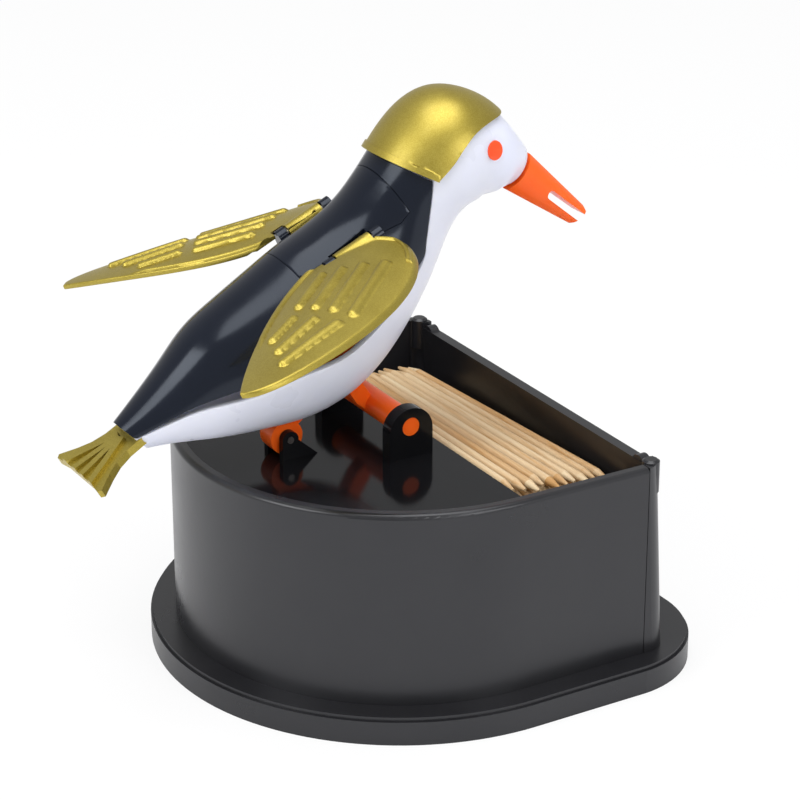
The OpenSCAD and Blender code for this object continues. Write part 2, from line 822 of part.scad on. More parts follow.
module wing_outline(inset) {
  k = 1 - 2 * inset / (wing_outer + wing_inner);
  steps = [for (i = [1 : wing_steps - 1]) (1 - cos(180 * i / wing_steps)) / 2];
  x0 = inset;
  l = wing_l - 2.4 * inset;
  polygon(concat([[x0, 0]],
    [for (x = steps) [x0 + l * x, k * outer_half(x)]],
    [[x0 + l, 0]],
    [for (i = [len(steps) - 1 : -1 : 0])
      [x0 + l * steps[i], -k * inner_half(steps[i])]]));
}

// Curved layer of a wing between heights a and b over its underside
module wing_layer(a, b) {
  intersection() {
    translate([0, 0, -30]) linear_extrude(60) children();
    translate([-5, wing_crest, wing_rise - wing_cup_r]) rotate([0, 90, 0])
      difference() {
        cylinder(r = wing_cup_r + b, h = wing_l + 10, $fn = 160);
        translate([0, 0, -1]) cylinder(r = wing_cup_r + a, h = wing_l + 12, $fn = 160);
      }
  }
}

module wing_ribs() {
  w = 1.8;
  for (k = [0 : 3]) translate([12.6 - 1.5 * k, -4.5 + 3.5 * k]) rotate(4)
    square([13.4 + 1.9 * k, w]);
  for (k = [0 : 2]) translate([28.2 + 0.4 * k, -2.6 + 4.5 * k])
    rotate(-4 - 5 * k) square([9.4 + 3.6 * k, w]);
}

module wing(side, lift) {
  at_hinge(side) {
    difference() {
      union() {
        rotate([0, -lift, 0]) translate([0, knuckle_to, 0]) rotate(wing_turn) {
          wing_layer(0, wing_t) wing_outline(0);
          // raised lip along the shoulder and the inner edge
          wing_layer(wing_t - 0.1, wing_t + rib_h) intersection() {
            difference() {
              wing_outline(0);
              wing_outline(0.9);
            }
            union() {
              translate([-5, -20]) square([12, 40]);
              translate([-5, -20]) square([44, 20.5]);
            }
          }
          wing_layer(wing_t - 0.1, wing_t + rib_h) wing_ribs();
        }
        hinge_rod(knuckle_d, knuckle_from, knuckle_to);
        // tab that the cross pin presses down
        translate([-7, knuckle_from, -2.75]) cube([7.6, tab_l, 1.4]);
        translate([-1.6, knuckle_from, -2.75]) cube([2.6, tab_l, 2.75]);
      }
      hinge_rod(wing_pin_d + 2 * fit, knuckle_from - 20, knuckle_to + 20);
      // straight root behind the knuckle, clear of the back when lifted
      translate([-20.5, -20, -10]) cube([20, 20 + knuckle_from, 20]);
      // room for the shell's lugs and pin ends
      hinge_rod(hinge_boss_d + 0.6, knuckle_from - 2.8, knuckle_from);
      hinge_rod(hinge_boss_d + 0.6, knuckle_to, knuckle_to + 2.8);
    }
  }
}

module right_wing() { color(gold) wing(1, right_lift); }
module left_wing() { color(gold) wing(-1, left_lift); }

module wing_pin(side) {
  color(steel) at_hinge(side)
    hinge_rod(wing_pin_d, knuckle_from - 2, knuckle_to + 2);
}

module right_wing_pin() { wing_pin(1); }
module left_wing_pin() { wing_pin(-1); }

base_plate();
box_shell();
front_panel();
lid();
pick_tray();
toothpicks();
perch_frame();
lifter_pin();
anchor_pin();
base_screws();
back_shell();
shoulder_cover();
tail_fan();
belly_shell();
crown_cap();
beak();
eyes();
pivot_pin();
right_wing();
left_wing();
right_wing_pin();
left_wing_pin();
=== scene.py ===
import math
import bpy
import bmesh
from mathutils import Matrix, Vector


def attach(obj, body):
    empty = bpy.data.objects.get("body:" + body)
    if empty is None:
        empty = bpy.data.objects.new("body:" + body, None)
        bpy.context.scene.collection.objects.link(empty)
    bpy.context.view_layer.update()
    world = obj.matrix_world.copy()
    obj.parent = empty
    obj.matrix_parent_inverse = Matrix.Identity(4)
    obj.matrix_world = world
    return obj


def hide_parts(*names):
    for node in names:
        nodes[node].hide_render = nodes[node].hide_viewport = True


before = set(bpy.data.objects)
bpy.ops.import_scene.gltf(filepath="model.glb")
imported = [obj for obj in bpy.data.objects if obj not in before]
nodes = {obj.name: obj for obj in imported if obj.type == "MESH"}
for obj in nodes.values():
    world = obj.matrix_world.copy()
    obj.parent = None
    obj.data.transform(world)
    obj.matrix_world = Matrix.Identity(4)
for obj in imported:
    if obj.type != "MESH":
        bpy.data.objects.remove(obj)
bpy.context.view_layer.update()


def mm(value):
    return value * 0.001


def link(obj):
    bpy.context.scene.collection.objects.link(obj)
    return obj


# ---------------------------------------------------------------- camera
cameraView = {
    "azimuth": 59.3,       # degrees, seen from the bird's right and behind
    "elevation": 23.17,
    "distance": 563.2,     # to the plane through the origin
    "right": 0.04,         # where the origin sits in the view
    "down": 44.26,
    "lens": 126.04,        # on a 36 mm sensor
}


def makeCamera(v):
    az, el = math.radians(v["azimuth"]), math.radians(v["elevation"])
    right = Vector((math.cos(az), math.sin(az), 0))
    ahead = Vector((-math.sin(az) * math.cos(el), math.cos(az) * math.cos(el), -math.sin(el)))
    down = ahead.cross(right)
    place = -(right * mm(v["right"]) + down * mm(v["down"]) + ahead * mm(v["distance"]))
    data = bpy.data.cameras.new("viewCamera")
    data.lens, data.sensor_width, data.sensor_fit = v["lens"], 36, "HORIZONTAL"
    data.clip_start, data.clip_end = 0.01, 20
    cam = link(bpy.data.objects.new("viewCamera", data))
    up, back = -down, -ahead
    cam.matrix_world = Matrix((
        (right.x, up.x, back.x, place.x),
        (right.y, up.y, back.y, place.y),
        (right.z, up.z, back.z, place.z),
        (0, 0, 0, 1)))
    bpy.context.scene.camera = cam


makeCamera(cameraView)
print("camera ready")


# ---------------------------------------------------------------- shader helpers
def newGroup(name, inputs, outputs):
    tree = bpy.data.node_groups.new(name, "ShaderNodeTree")
    for label, kind, default in inputs:
        s = tree.interface.new_socket(label, in_out="INPUT", socket_type=kind)
        s.default_value = default
    for label, kind in outputs:
        tree.interface.new_socket(label, in_out="OUTPUT", socket_type=kind)
    return tree, tree.nodes.new("NodeGroupInput"), tree.nodes.new("NodeGroupOutput")


def addNode(tree, kind, **values):
    n = tree.nodes.new(kind)
    for key, value in values.items():
        if key.startswith("in_"):
            n.inputs[key[3:].replace("_", " ")].default_value = value
        else:
            setattr(n, key, value)
    return n


def mathNode(tree, operation, a, b=None, c=None, clamp=False):
    n = addNode(tree, "ShaderNodeMath", operation=operation, use_clamp=clamp)
    for i, v in enumerate((a, b, c)):
        if v is None:
            continue
        if isinstance(v, (int, float)):
            n.inputs[i].default_value = v
        else:
            tree.links.new(v, n.inputs[i])
    return n.outputs[0]


def ramp(tree, source, low, high):
    n = addNode(tree, "ShaderNodeMapRange", clamp=True)
    n.inputs["From Min"].default_value, n.inputs["From Max"].default_value = low, high
    tree.links.new(source, n.inputs["Value"])
    return n.outputs["Result"]


def mixColor(tree, factor, a, b):
    n = addNode(tree, "ShaderNodeMix", data_type="RGBA", blend_type="MIX")
    tree.links.new(factor, n.inputs["Factor"])
    for socket, v in ((n.inputs[6], a), (n.inputs[7], b)):
        if isinstance(v, tuple):
            socket.default_value = (*v, 1)
        else:
            tree.links.new(v, socket)
    return n.outputs[2]


# Faint swirls and smears that handling leaves on glossy plastic
def makeHandlingGroup():
    tree, gin, gout = newGroup("handlingMarks",
        [("Scale", "NodeSocketFloat", 60.0), ("Dust", "NodeSocketFloat", 0.3)],
        [("Smear", "NodeSocketFloat"), ("Specks", "NodeSocketFloat"), ("Height", "NodeSocketFloat")])
    coords = addNode(tree, "ShaderNodeTexCoord")
    broad = addNode(tree, "ShaderNodeTexNoise", in_Detail=4.0, in_Roughness=0.6)
    tree.links.new(coords.outputs["Object"], broad.inputs["Vector"])
    tree.links.new(gin.outputs["Scale"], broad.inputs["Scale"])
    fine = addNode(tree, "ShaderNodeTexNoise", in_Scale=900.0, in_Detail=2.0)
    tree.links.new(coords.outputs["Object"], fine.inputs["Vector"])
    dots = addNode(tree, "ShaderNodeTexVoronoi", in_Scale=420.0)
    tree.links.new(coords.outputs["Object"], dots.inputs["Vector"])
    spot = ramp(tree, dots.outputs["Distance"], 0.085, 0.03)
    rare = ramp(tree, dots.outputs["Color"], 0.93, 0.97)
    specks = mathNode(tree, "MULTIPLY", spot, rare)
    specks = mathNode(tree, "MULTIPLY", specks, gin.outputs["Dust"])
    smear = ramp(tree, broad.outputs["Fac"], 0.35, 0.75)
    height = mathNode(tree, "MULTIPLY_ADD", fine.outputs["Fac"], 0.25, broad.outputs["Fac"])
    tree.links.new(smear, gout.inputs["Smear"])
    tree.links.new(specks, gout.inputs["Specks"])
    tree.links.new(height, gout.inputs["Height"])
    return tree


# Metal flakes stirred into plastic: colour shifts and a grainy sparkle
def makeFlakeGroup():
    tree, gin, gout = newGroup("metalFlakes",
        [("Base", "NodeSocketColor", (0.4, 0.3, 0.1, 1)), ("Glint", "NodeSocketColor", (0.8, 0.7, 0.3, 1)),
         ("Scale", "NodeSocketFloat", 2600.0), ("Amount", "NodeSocketFloat", 0.35)],
        [("Color", "NodeSocketColor"), ("Roughness", "NodeSocketFloat"), ("Height", "NodeSocketFloat")])
    coords = addNode(tree, "ShaderNodeTexCoord")
    flakes = addNode(tree, "ShaderNodeTexVoronoi")
    tree.links.new(coords.outputs["Object"], flakes.inputs["Vector"])
    tree.links.new(gin.outputs["Scale"], flakes.inputs["Scale"])
    cloud = addNode(tree, "ShaderNodeTexNoise", in_Scale=90.0, in_Detail=5.0, in_Roughness=0.65)
    tree.links.new(coords.outputs["Object"], cloud.inputs["Vector"])
    pick = addNode(tree, "ShaderNodeSeparateColor")
    tree.links.new(flakes.outputs["Color"], pick.inputs["Color"])
    glint = mathNode(tree, "MULTIPLY", pick.outputs["Red"], gin.outputs["Amount"])
    soft = ramp(tree, cloud.outputs["Fac"], 0.3, 0.75)
    both = mathNode(tree, "MULTIPLY_ADD", soft, 0.18, glint, clamp=True)
    color = mixColor(tree, both, gin.outputs["Base"], gin.outputs["Glint"])
    rough = mathNode(tree, "MULTIPLY_ADD", pick.outputs["Green"], 0.16, 0.3)
    rough = mathNode(tree, "MULTIPLY_ADD", soft, 0.08, rough)
    height = mathNode(tree, "MULTIPLY_ADD", cloud.outputs["Fac"], 0.5, pick.outputs["Blue"])
    tree.links.new(color, gout.inputs["Color"])
    tree.links.new(rough, gout.inputs["Roughness"])
    tree.links.new(height, gout.inputs["Height"])
    return tree


# Long fibres along X with a tone of its own for each pick
def makeGrainGroup():
    tree, gin, gout = newGroup("pickGrain",
        [("Pale", "NodeSocketColor", (0.8, 0.65, 0.4, 1)),
         ("Dark", "NodeSocketColor", (0.55, 0.35, 0.16, 1)),
         ("Fibre", "NodeSocketFloat", 1400.0), ("Pick", "NodeSocketFloat", 0.5)],
        [("Color", "NodeSocketColor"), ("Roughness", "NodeSocketFloat"), ("Height", "NodeSocketFloat")])
    coords = addNode(tree, "ShaderNodeTexCoord")
    stretch = addNode(tree, "ShaderNodeMapping")
    stretch.inputs["Scale"].default_value = (0.03, 1, 1)
    tree.links.new(coords.outputs["Object"], stretch.inputs["Vector"])
    fibre = addNode(tree, "ShaderNodeTexNoise", in_Detail=4.0, in_Roughness=0.7)
    tree.links.new(stretch.outputs["Vector"], fibre.inputs["Vector"])
    tree.links.new(gin.outputs["Fibre"], fibre.inputs["Scale"])
    tone = addNode(tree, "ShaderNodeTexNoise", in_Scale=330.0, in_Detail=1.0)
    flat = addNode(tree, "ShaderNodeMapping")
    flat.inputs["Scale"].default_value = (0.02, 1, 1)
    tree.links.new(coords.outputs["Object"], flat.inputs["Vector"])
    tree.links.new(flat.outputs["Vector"], tone.inputs["Vector"])
    streak = ramp(tree, fibre.outputs["Fac"], 0.42, 0.72)
    shade = ramp(tree, tone.outputs["Fac"], 0.35, 0.7)
    both = mathNode(tree, "MULTIPLY_ADD", streak, 0.5, mathNode(tree, "MULTIPLY", shade, 0.25))
    own = mathNode(tree, "POWER", gin.outputs["Pick"], 2.2)
    both = mathNode(tree, "MULTIPLY_ADD", own, 0.7, both, clamp=True)
    color = mixColor(tree, both, gin.outputs["Pale"], gin.outputs["Dark"])
    rough = mathNode(tree, "MULTIPLY_ADD", streak, 0.2, 0.5)
    tree.links.new(color, gout.inputs["Color"])
    tree.links.new(rough, gout.inputs["Roughness"])
    tree.links.new(fibre.outputs["Fac"], gout.inputs["Height"])
    return tree


handlingGroup = makeHandlingGroup()
flakeGroup = makeFlakeGroup()
grainGroup = makeGrainGroup()


def newMaterial(name):
    mat = bpy.data.materials.new(name)
    mat.use_nodes = True
    tree = mat.node_tree
    tree.nodes.clear()
    shader = tree.nodes.new("ShaderNodeBsdfPrincipled")
    out = tree.nodes.new("ShaderNodeOutputMaterial")
    tree.links.new(shader.outputs["BSDF"], out.inputs["Surface"])
    return mat, tree, shader


def placeGroup(tree, group, **values):
    g = tree.nodes.new("ShaderNodeGroup")
    g.node_tree = group
    for key, value in values.items():
        g.inputs[key].default_value = value
    return g


def addBump(tree, shader, height, strength, distance):
    bump = addNode(tree, "ShaderNodeBump", in_Strength=strength, in_Distance=distance)
    tree.links.new(height, bump.inputs["Height"])
    tree.links.new(bump.outputs["Normal"], shader.inputs["Normal"])


# One moulded plastic: colour, a slightly different colour where it is smeared, gloss
def mouldedPlastic(name, look):
    mat, tree, shader = newMaterial(name)
    marks = placeGroup(tree, handlingGroup, Scale=look["marks"], Dust=look["dust"])
    base = mixColor(tree, marks.outputs["Smear"], look["color"], look["smear"])
    base = mixColor(tree, marks.outputs["Specks"], base, look["speck"])
    tree.links.new(base, shader.inputs["Base Color"])
    rough = mathNode(tree, "MULTIPLY_ADD", marks.outputs["Smear"], look["roughSpread"], look["rough"])
    rough = mathNode(tree, "MULTIPLY_ADD", marks.outputs["Specks"], 0.4, rough)
    tree.links.new(rough, shader.inputs["Roughness"])
    addBump(tree, shader, marks.outputs["Height"], look["bump"], look["bumpDepth"])
    shader.inputs["IOR"].default_value = look["ior"]
    shader.inputs["Specular IOR Level"].default_value = look["shine"]
    shader.inputs["Specular Tint"].default_value = (*look["tint"], 1)
    if look["glow"] > 0:
        shader.inputs["Subsurface Weight"].default_value = look["glow"]
        shader.inputs["Subsurface Radius"].default_value = look["glowRadius"]
        shader.inputs["Subsurface Scale"].default_value = look["glowDepth"]
    return mat


plasticLooks = {
    "boxBlack": {"color": (0.011, 0.011, 0.013), "smear": (0.016, 0.016, 0.018), "speck": (0.1, 0.1, 0.1),
        "marks": 38.0, "dust": 0.5, "rough": 0.27, "roughSpread": 0.09, "bump": 0.1, "bumpDepth": 0.0003,
        "ior": 1.5, "shine": 0.5, "tint": (0.96, 0.97, 1), "glow": 0, "glowRadius": (1, 1, 1),
        "glowDepth": 0.001},
    "lidBlack": {"color": (0.005, 0.005, 0.006), "smear": (0.007, 0.007, 0.008),
        "speck": (0.08, 0.08, 0.08),
        "marks": 50.0, "dust": 0.4, "rough": 0.09, "roughSpread": 0.05, "bump": 0.04, "bumpDepth": 0.0003,
        "ior": 1.5, "shine": 0.16, "tint": (0.9, 0.95, 1), "glow": 0, "glowRadius": (1, 1, 1),
        "glowDepth": 0.001},
    "birdBlack": {"color": (0.004, 0.0055, 0.011), "smear": (0.006, 0.008, 0.015),
        "speck": (0.16, 0.17, 0.2),
        "marks": 45.0, "dust": 0.5, "rough": 0.14, "roughSpread": 0.08, "bump": 0.04, "bumpDepth": 0.0004,
        "ior": 1.52, "shine": 0.33, "tint": (0.8, 0.88, 1), "glow": 0, "glowRadius": (1, 1, 1),
        "glowDepth": 0.001},
    "bellyWhite": {"color": (0.7, 0.725, 0.86), "smear": (0.75, 0.77, 0.9), "speck": (0.4, 0.4, 0.42),
        "marks": 40.0, "dust": 0.25, "rough": 0.26, "roughSpread": 0.08, "bump": 0.04, "bumpDepth": 0.0003,
        "ior": 1.49, "shine": 0.5, "tint": (1, 1, 1), "glow": 0.35, "glowRadius": (0.9, 0.95, 1.2),
        "glowDepth": 0.004},
    "billOrange": {"color": (1.0, 0.115, 0.006), "smear": (1.0, 0.15, 0.014), "speck": (0.7, 0.3, 0.2),
        "marks": 70.0, "dust": 0.25, "rough": 0.27, "roughSpread": 0.1, "bump": 0.06, "bumpDepth": 0.0003,
        "ior": 1.49, "shine": 0.3, "tint": (1, 0.9, 0.8), "glow": 0.25, "glowRadius": (1.2, 0.5, 0.2),
        "glowDepth": 0.0015},
    "eyeRed": {"color": (0.95, 0.07, 0.012), "smear": (1.0, 0.1, 0.02), "speck": (0.7, 0.3, 0.2),
        "marks": 120.0, "dust": 0.2, "rough": 0.2, "roughSpread": 0.1, "bump": 0.05, "bumpDepth": 0.0002,
        "ior": 1.49, "shine": 0.4, "tint": (1, 0.95, 0.9), "glow": 0.1, "glowRadius": (1.2, 0.5, 0.2),
        "glowDepth": 0.001},
}
finish = {name: mouldedPlastic(name, look) for name, look in plasticLooks.items()}

goldLook = {"base": (0.33, 0.25, 0.03), "glint": (0.6, 0.5, 0.12), "scale": 7500.0, "amount": 0.32,
    "metallic": 0.86, "bump": 0.05, "depth": 0.0001, "coat": 0.15, "coatRough": 0.2}


def goldPlastic(look):
    mat, tree, shader = newMaterial("flakeGold")
    flakes = placeGroup(tree, flakeGroup, Scale=look["scale"], Amount=look["amount"])
    flakes.inputs["Base"].default_value = (*look["base"], 1)
    flakes.inputs["Glint"].default_value = (*look["glint"], 1)
    tree.links.new(flakes.outputs["Color"], shader.inputs["Base Color"])
    tree.links.new(flakes.outputs["Roughness"], shader.inputs["Roughness"])
    addBump(tree, shader, flakes.outputs["Height"], look["bump"], look["depth"])
    shader.inputs["Metallic"].default_value = look["metallic"]
    shader.inputs["Coat Weight"].default_value = look["coat"]
    shader.inputs["Coat Roughness"].default_value = look["coatRough"]
    return mat


finish["flakeGold"] = goldPlastic(goldLook)

pickLook = {"pale": (0.74, 0.6, 0.39), "dark": (0.5, 0.27, 0.09), "fibre": 1400.0, "bump": 0.35}


def pickWood(look):
    mat, tree, shader = newMaterial("pickWood")
    grain = placeGroup(tree, grainGroup, Fibre=look["fibre"])
    grain.inputs["Pale"].default_value = (*look["pale"], 1)
    grain.inputs["Dark"].default_value = (*look["dark"], 1)
    island = addNode(tree, "ShaderNodeNewGeometry")
    tree.links.new(island.outputs["Random Per Island"], grain.inputs["Pick"])
    tree.links.new(grain.outputs["Color"], shader.inputs["Base Color"])
    tree.links.new(grain.outputs["Roughness"], shader.inputs["Roughness"])
    addBump(tree, shader, grain.outputs["Height"], look["bump"], 0.0002)
    return mat


finish["pickWood"] = pickWood(pickLook)


def drawnSteel(name, dark, pale):
    mat, tree, shader = newMaterial(name)
    coords = addNode(tree, "ShaderNodeTexCoord")
    lines = addNode(tree, "ShaderNodeTexNoise", in_Scale=2200.0, in_Detail=3.0)
    stretch = addNode(tree, "ShaderNodeMapping")
    stretch.inputs["Scale"].default_value = (0.05, 1, 1)
    tree.links.new(coords.outputs["Object"], stretch.inputs["Vector"])
    tree.links.new(stretch.outputs["Vector"], lines.inputs["Vector"])
    tone = mixColor(tree, lines.outputs["Fac"], dark, pale)
    tree.links.new(tone, shader.inputs["Base Color"])
    rough = mathNode(tree, "MULTIPLY_ADD", lines.outputs["Fac"], 0.2, 0.22)
    tree.links.new(rough, shader.inputs["Roughness"])
    shader.inputs["Metallic"].default_value = 1.0
    return mat


finish["drawnSteel"] = drawnSteel("drawnSteel", (0.5, 0.5, 0.49), (0.66, 0.66, 0.65))
# painted shade: this steel is darkened to stand in for the shadow the anchor pin sits in
finish["shadeDarkSteel"] = drawnSteel("shadeDarkSteel", (0.1, 0.09, 0.09), (0.2, 0.18, 0.17))
print("finishes ready:", len(finish))


def dress(obj, mat):
    obj.data.materials.clear()
    obj.data.materials.append(finish[mat])
    for poly in obj.data.polygons:
        poly.material_index = 0


# ---------------------------------------------------------------- mesh helpers
def meshPiece(name, points, faces):
    data = bpy.data.meshes.new(name)
    data.from_pydata([tuple(p) for p in points], [], faces)
    data.validate()
    data.update()
    return link(bpy.data.objects.new(name, data))


def faceOutwards(obj):
    bm = bmesh.new()
    bm.from_mesh(obj.data)
    bmesh.ops.recalc_face_normals(bm, faces=bm.faces)
    bm.to_mesh(obj.data)
    bm.free()
    return obj


def closedPiece(name, points, faces):
    # points in millimetres, all faces turned outwards
    return faceOutwards(meshPiece(name, [(mm(x), mm(y), mm(z)) for x, y, z in points], faces))


def pushThrough(name, outline, start, end, place):
    # a closed outline pushed from start to end; place turns (a, b, depth) into a point
    n = len(outline)
    points = [place(a, b, depth) for depth in (start, end) for a, b in outline]
    faces = [tuple(range(n)), tuple(range(2 * n - 1, n - 1, -1))]
    faces += [(k, (k + 1) % n, n + (k + 1) % n, n + k) for k in range(n)]
    return closedPiece(name, points, faces)


def bake(obj):
    deps = bpy.context.evaluated_depsgraph_get()
    fresh = bpy.data.meshes.new_from_object(obj.evaluated_get(deps))
    old = obj.data
    obj.modifiers.clear()
    obj.data = fresh
    bpy.data.meshes.remove(old)
    return obj


def carve(obj, cutter, operation):
    whole = obj.data.copy()
    mod = obj.modifiers.new("carve", "BOOLEAN")
    mod.operation, mod.object, mod.solver = operation, cutter, "EXACT"
    bake(obj)
    if operation != "INTERSECT" and len(obj.data.vertices) < 0.5 * len(whole.vertices):
        # a union or cut that lost the body: the body stays as it was
        print("cut left out:", obj.name, cutter.name)
        obj.data = whole
    bpy.data.objects.remove(cutter)
    return obj


def soften(obj, width, angle=35, segments=2):
    mod = obj.modifiers.new("soften", "BEVEL")
    mod.width, mod.segments, mod.limit_method = width, segments, "ANGLE"
    mod.angle_limit = math.radians(angle)
    mod.harden_normals = False
    return bake(obj)


def shadeSmooth(obj, angle=35):
    for poly in obj.data.polygons:
        poly.use_smooth = True
    bm = bmesh.new()
    bm.from_mesh(obj.data)
    for e in bm.edges:
        if len(e.link_faces) == 2 and e.calc_face_angle(0) > math.radians(angle):
            e.smooth = False
    bm.to_mesh(obj.data)
    bm.free()
    return obj


def curveThrough(points, steps):
    # Catmull-Rom curve through given points
    out = []
    last = len(points) - 1
    for i in range(last):
        p0, p1, p2, p3 = (points[max(i - 1, 0)], points[i], points[i + 1], points[min(i + 2, last)])
        for k in range(steps):
            t = k / steps
            out.append(tuple(0.5 * (2 * b + (c - a) * t + (2 * a - 5 * b + 4 * c - d) * t * t
                + (3 * b - a - 3 * c + d) * t ** 3) for a, b, c, d in zip(p0, p1, p2, p3)))
    out.append(tuple(points[-1]))
    return out


# ---------------------------------------------------------------- bird shells
bird = {
    "pivot": (-6.0, 80.0),
    # [back y, back z, belly y, belly z, half width] from tail to beak, from the pivot
    "sections": [
        [-54.5, -23.5, -49.0, -29.0, 4.0], [-50.0, -19.5, -43.5, -29.0, 6.0],
        [-44.5, -14.0, -34.0, -30.0, 8.5], [-39.0, -8.0, -24.5, -30.0, 11.0],
        [-32.5, -4.0, -16.0, -29.5, 12.5], [-25.5, 0.0, -7.5, -26.5, 13.5],
        [-19.0, 4.0, -0.5, -21.5, 13.0], [-12.5, 7.0, 5.5, -14.0, 12.5],
        [-7.0, 10.5, 11.0, -5.5, 11.0], [-3.0, 14.5, 14.5, 2.5, 10.5],
        [0.5, 18.5, 17.5, 6.5, 11.0], [4.0, 23.0, 20.5, 7.5, 11.5],
        [9.0, 27.5, 21.5, 8.0, 11.5], [15.5, 29.5, 23.0, 8.0, 11.0],
        [23.5, 26.5, 24.5, 8.0, 10.0], [28.5, 21.5, 26.0, 8.5, 8.0],
        [33.0, 16.0, 28.0, 8.5, 4.8]],
    "bellyEdge": [(-52, -25.4), (-41.5, -21.2), (-32, -19.4), (-22.5, -16.5),
        (-11.5, -13.5), (-1, -6), (4.6, 0), (5.6, 4.5), (6.4, 10.5), (7.1, 15.9)],
    "backEdge": [(-52, -25.2), (-42, -20), (-32, -16.8), (-22.5, -13.4),
        (-12, -10.2), (-2.5, -3.6), (4.4, 0.6), (5.4, 4.6), (6.2, 10.5), (6.8, 15.7)],
    "nape": (-1.4, 20.2),
    "capCorner": (7.4, 15.8),
    "capEdge": [(7.4, 15.8), (10.4, 18.6), (13, 21.4), (16.3, 23.8), (21, 24.9), (27.2, 24.7)],
    "wall": 1.6,
    "cap": 1.0,
    "ringPoints": 96,
    "steps": 8,
    "wide": 60,             # wider than the bird, for cutting right through it
    "relax": 14,
}
birdRings = curveThrough([tuple(s) for s in bird["sections"]], bird["steps"])
for _ in range(bird["relax"]):
    # eases the small kinks between the listed sections
    birdRings = [birdRings[0]] + [tuple((a + 2 * b + c) / 4 for a, b, c in zip(*birdRings[i - 1:i + 2]))
        for i in range(1, len(birdRings) - 1)] + [birdRings[-1]]


def skinAt(name, grow, first=0, last=None):
    rings = birdRings[first * bird["steps"]:(None if last is None else last * bird["steps"] + 1)]
    n = bird["ringPoints"]
    py, pz = bird["pivot"]
    points, faces = [], []
    for by, bz, ly, lz, half in rings:
        my, mz = (by + ly) / 2, (bz + lz) / 2
        dy, dz = by - ly, bz - lz
        length = math.hypot(dy, dz)
        a = length / 2 + grow
        for k in range(n):
            t = 2 * math.pi * k / n
            points.append((mm((half + grow) * math.cos(t)),
                mm(py + my + a * math.sin(t) * dy / length),
                mm(pz + mz + a * math.sin(t) * dz / length)))
    for r in range(len(rings) - 1):
        for k in range(n):
            a, b = r * n + k, r * n + (k + 1) % n
            faces.append((a, b, b + n, a + n))
    faces.append(tuple(range(n - 1, -1, -1)))
    faces.append(tuple((len(rings) - 1) * n + k for k in range(n)))
    return faceOutwards(meshPiece(name, points, faces))


def prismAcross(name, outline, width):
    # side view outline, (y, z) from the pivot, pushed through the bird along X
    py, pz = bird["pivot"]
    return pushThrough(name, outline, -width / 2, width / 2, lambda y, z, x: (x, py + y, pz + z))


def birdWall(name):
    outer = skinAt(name, 0)
    return carve(outer, skinAt("inner", -bird["wall"], 1, 13), "DIFFERENCE")


def makeShells():
    wide = bird["wide"]
    belly = birdWall("bellySkin")
    edge = curveThrough(bird["bellyEdge"], 6)
    napeY, napeZ = bird["nape"]
    area = [(-90, -27), (-90, -60), (60, -60), (60, 60), (-30, 60), (napeY, napeZ + 0.1)] + edge[::-1]
    carve(belly, prismAcross("area", area, wide), "INTERSECT")
    slot = [(-6, -14), (-26, -26), (-25, -40), (-4, -44), (22, -22), (22, -6.5), (10, -5.2)]
    carve(belly, prismAcross("slot", slot, 5.6), "DIFFERENCE")

    back = birdWall("backSkin")
    edge = curveThrough(bird["backEdge"], 6)
    area = [(-90, -26)] + edge + [(napeY, napeZ - 0.1), (-90, 40)]
    carve(back, prismAcross("area", area, wide), "INTERSECT")

    cap = skinAt("capSkin", bird["cap"], 9)
    edge = curveThrough(bird["capEdge"], 6)
    area = [(-21.4, 30), bird["nape"]] + edge + [(40, 30), (0, 60), (-30, 60)]
    carve(cap, prismAcross("area", area, wide), "INTERSECT")
    rim = skinAt("rim", bird["cap"] + 0.3, 9)
    nape, corner = bird["nape"], bird["capCorner"]
    area = [nape, corner, (corner[0] + 0.3, corner[1] + 1.3), (nape[0] + 0.5, nape[1] + 1.2),
        (-21, 31), (-21.4, 30)]
    carve(rim, prismAcross("area", area, wide), "INTERSECT")
    carve(cap, rim, "UNION")
    carve(cap, skinAt("under", 0.1, 8), "DIFFERENCE")
    return belly, back, cap


bellySkin, backSkin, capSkin = makeShells()
print("shells cut")

saddle = {
    # side view outline, and the same a hair larger for the seam round it
    "outline": [(-19.6, 0.6), (-24.5, 9.4), (-14, 22), (-2.6, 19.6), (2.2, 10.4), (0.4, 8.6), (-8, 5.4)],
    "seam": [(-19.65, 0.48), (-24.65, 9.36), (-14, 22.2), (-2.48, 19.7), (2.33, 10.4), (0.48, 8.5),
        (-8, 5.28)],
    "width": 19.6, "seamWidth": 19.84,
}


def makeSaddle():
    # the saddle is cut out of the back's own skin, with a fine seam round it
    top = birdWall("saddleSkin")
    carve(top, prismAcross("grown", saddle["outline"], saddle["width"]), "INTERSECT")
    carve(backSkin, prismAcross("seam", saddle["seam"], saddle["seamWidth"]), "DIFFERENCE")
    return top


saddleSkin = makeSaddle()

# ---------------------------------------------------------------- wings
wing = {
    "length": 54.0, "outer": 12.4, "inner": 9.4, "thick": 1.1,
    "cupRadius": 32.0, "crest": -8.0, "rise": 0.4,
    "turn": -54.3, "tilt": 24.6, "hinge": (9.5, -17.2, 1.3),
    # where the knuckle starts and ends along its pin, and its radius
    "knuckle": (4.6, 12.4, 1.6), "bore": 0.88, "bossRoom": 1.9, "bossLength": 2.8,
    "tab": ((-7, -2.75), (0.6, -1.35)), "web": ((-1.6, -2.75), (1, 0)), "tabLength": 6.4,
    "trimInside": -1.2, "rootEdge": -0.5,
    "ribHeight": 0.8, "ribHalf": 0.95, "lipHeight": 0.5, "lipHalf": 0.55, "edgeRound": 0.5,
    # start (u, w), length and slope of each rib's middle line
    "ribs": [((12.6 - 1.5 * k, -3.6 + 3.5 * k), 13.4 + 1.9 * k, 4) for k in range(4)]
        + [((28.2 + 0.4 * k, -1.7 + 4.5 * k), 9.4 + 3.6 * k, -4 - 5 * k) for k in range(3)],
    "along": 210, "across": 96,
}


